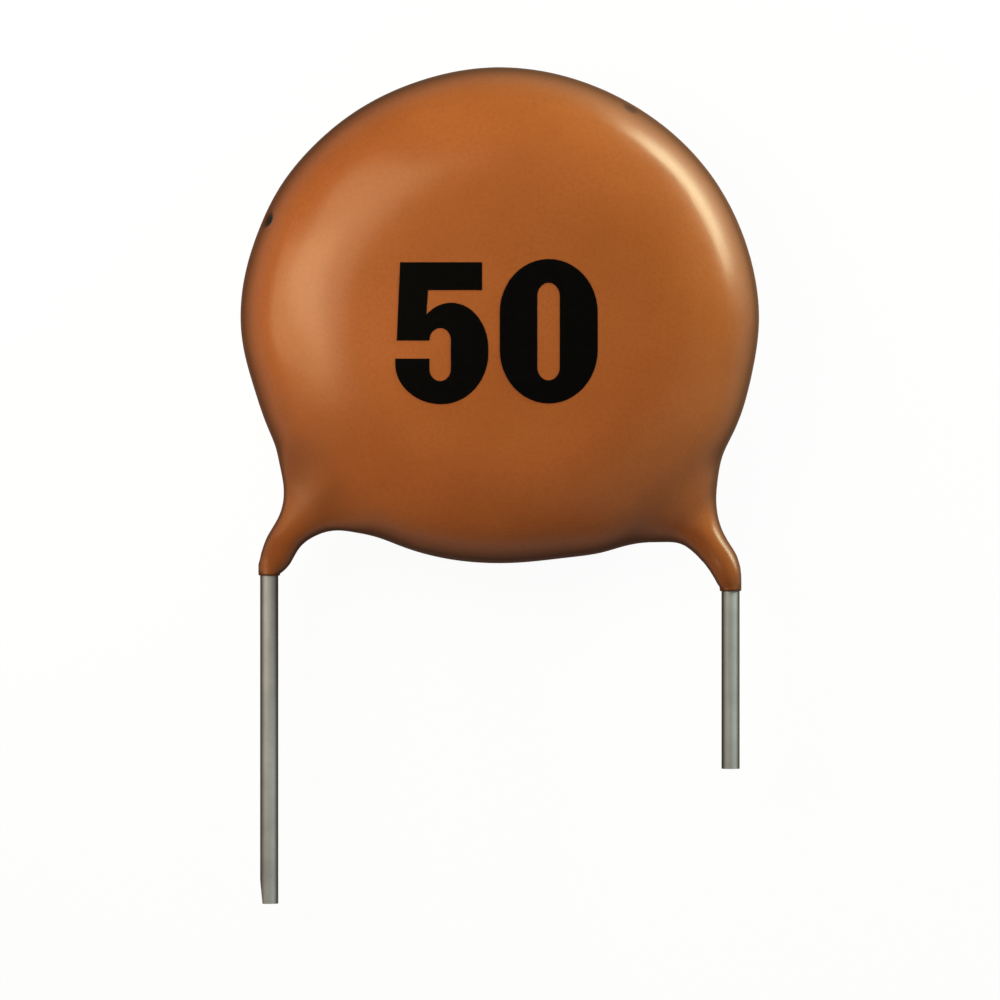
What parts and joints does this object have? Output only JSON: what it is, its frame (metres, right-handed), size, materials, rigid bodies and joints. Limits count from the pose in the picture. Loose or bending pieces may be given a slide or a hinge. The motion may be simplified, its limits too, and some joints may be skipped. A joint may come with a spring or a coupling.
{
  "type": "ceramic disc capacitor",
  "caption": "Round ceramic disc capacitor with a glossy dipped resin coating, drawn into legs along its radial wire leads.",
  "frame": {"origin": "on the flat of the rear face, under the centre of the coating's upper arc", "axes": "+Z out of the front face, with the part lying on its rear face; the leads run towards -Y; +X is to the right of the marked face"},
  "size_m": [0.0144, 0.023, 0.004],
  "materials": {
    "resin": "glossy dipped orange-brown resin",
    "ceramic": "bare fired titania ceramic",
    "silver": "matt fired silver film",
    "tinned_wire": "tinned wire, slightly dull",
    "solder": "smooth solder"
  },
  "bodies": {
    "root": {"coating": "resin", "ceramic_disc": "ceramic", "front_electrode": "silver", "rear_electrode": "silver", "long_lead": "tinned_wire", "short_lead": "tinned_wire", "front_solder": "solder", "rear_solder": "solder"}
  },
  "joints": []
}
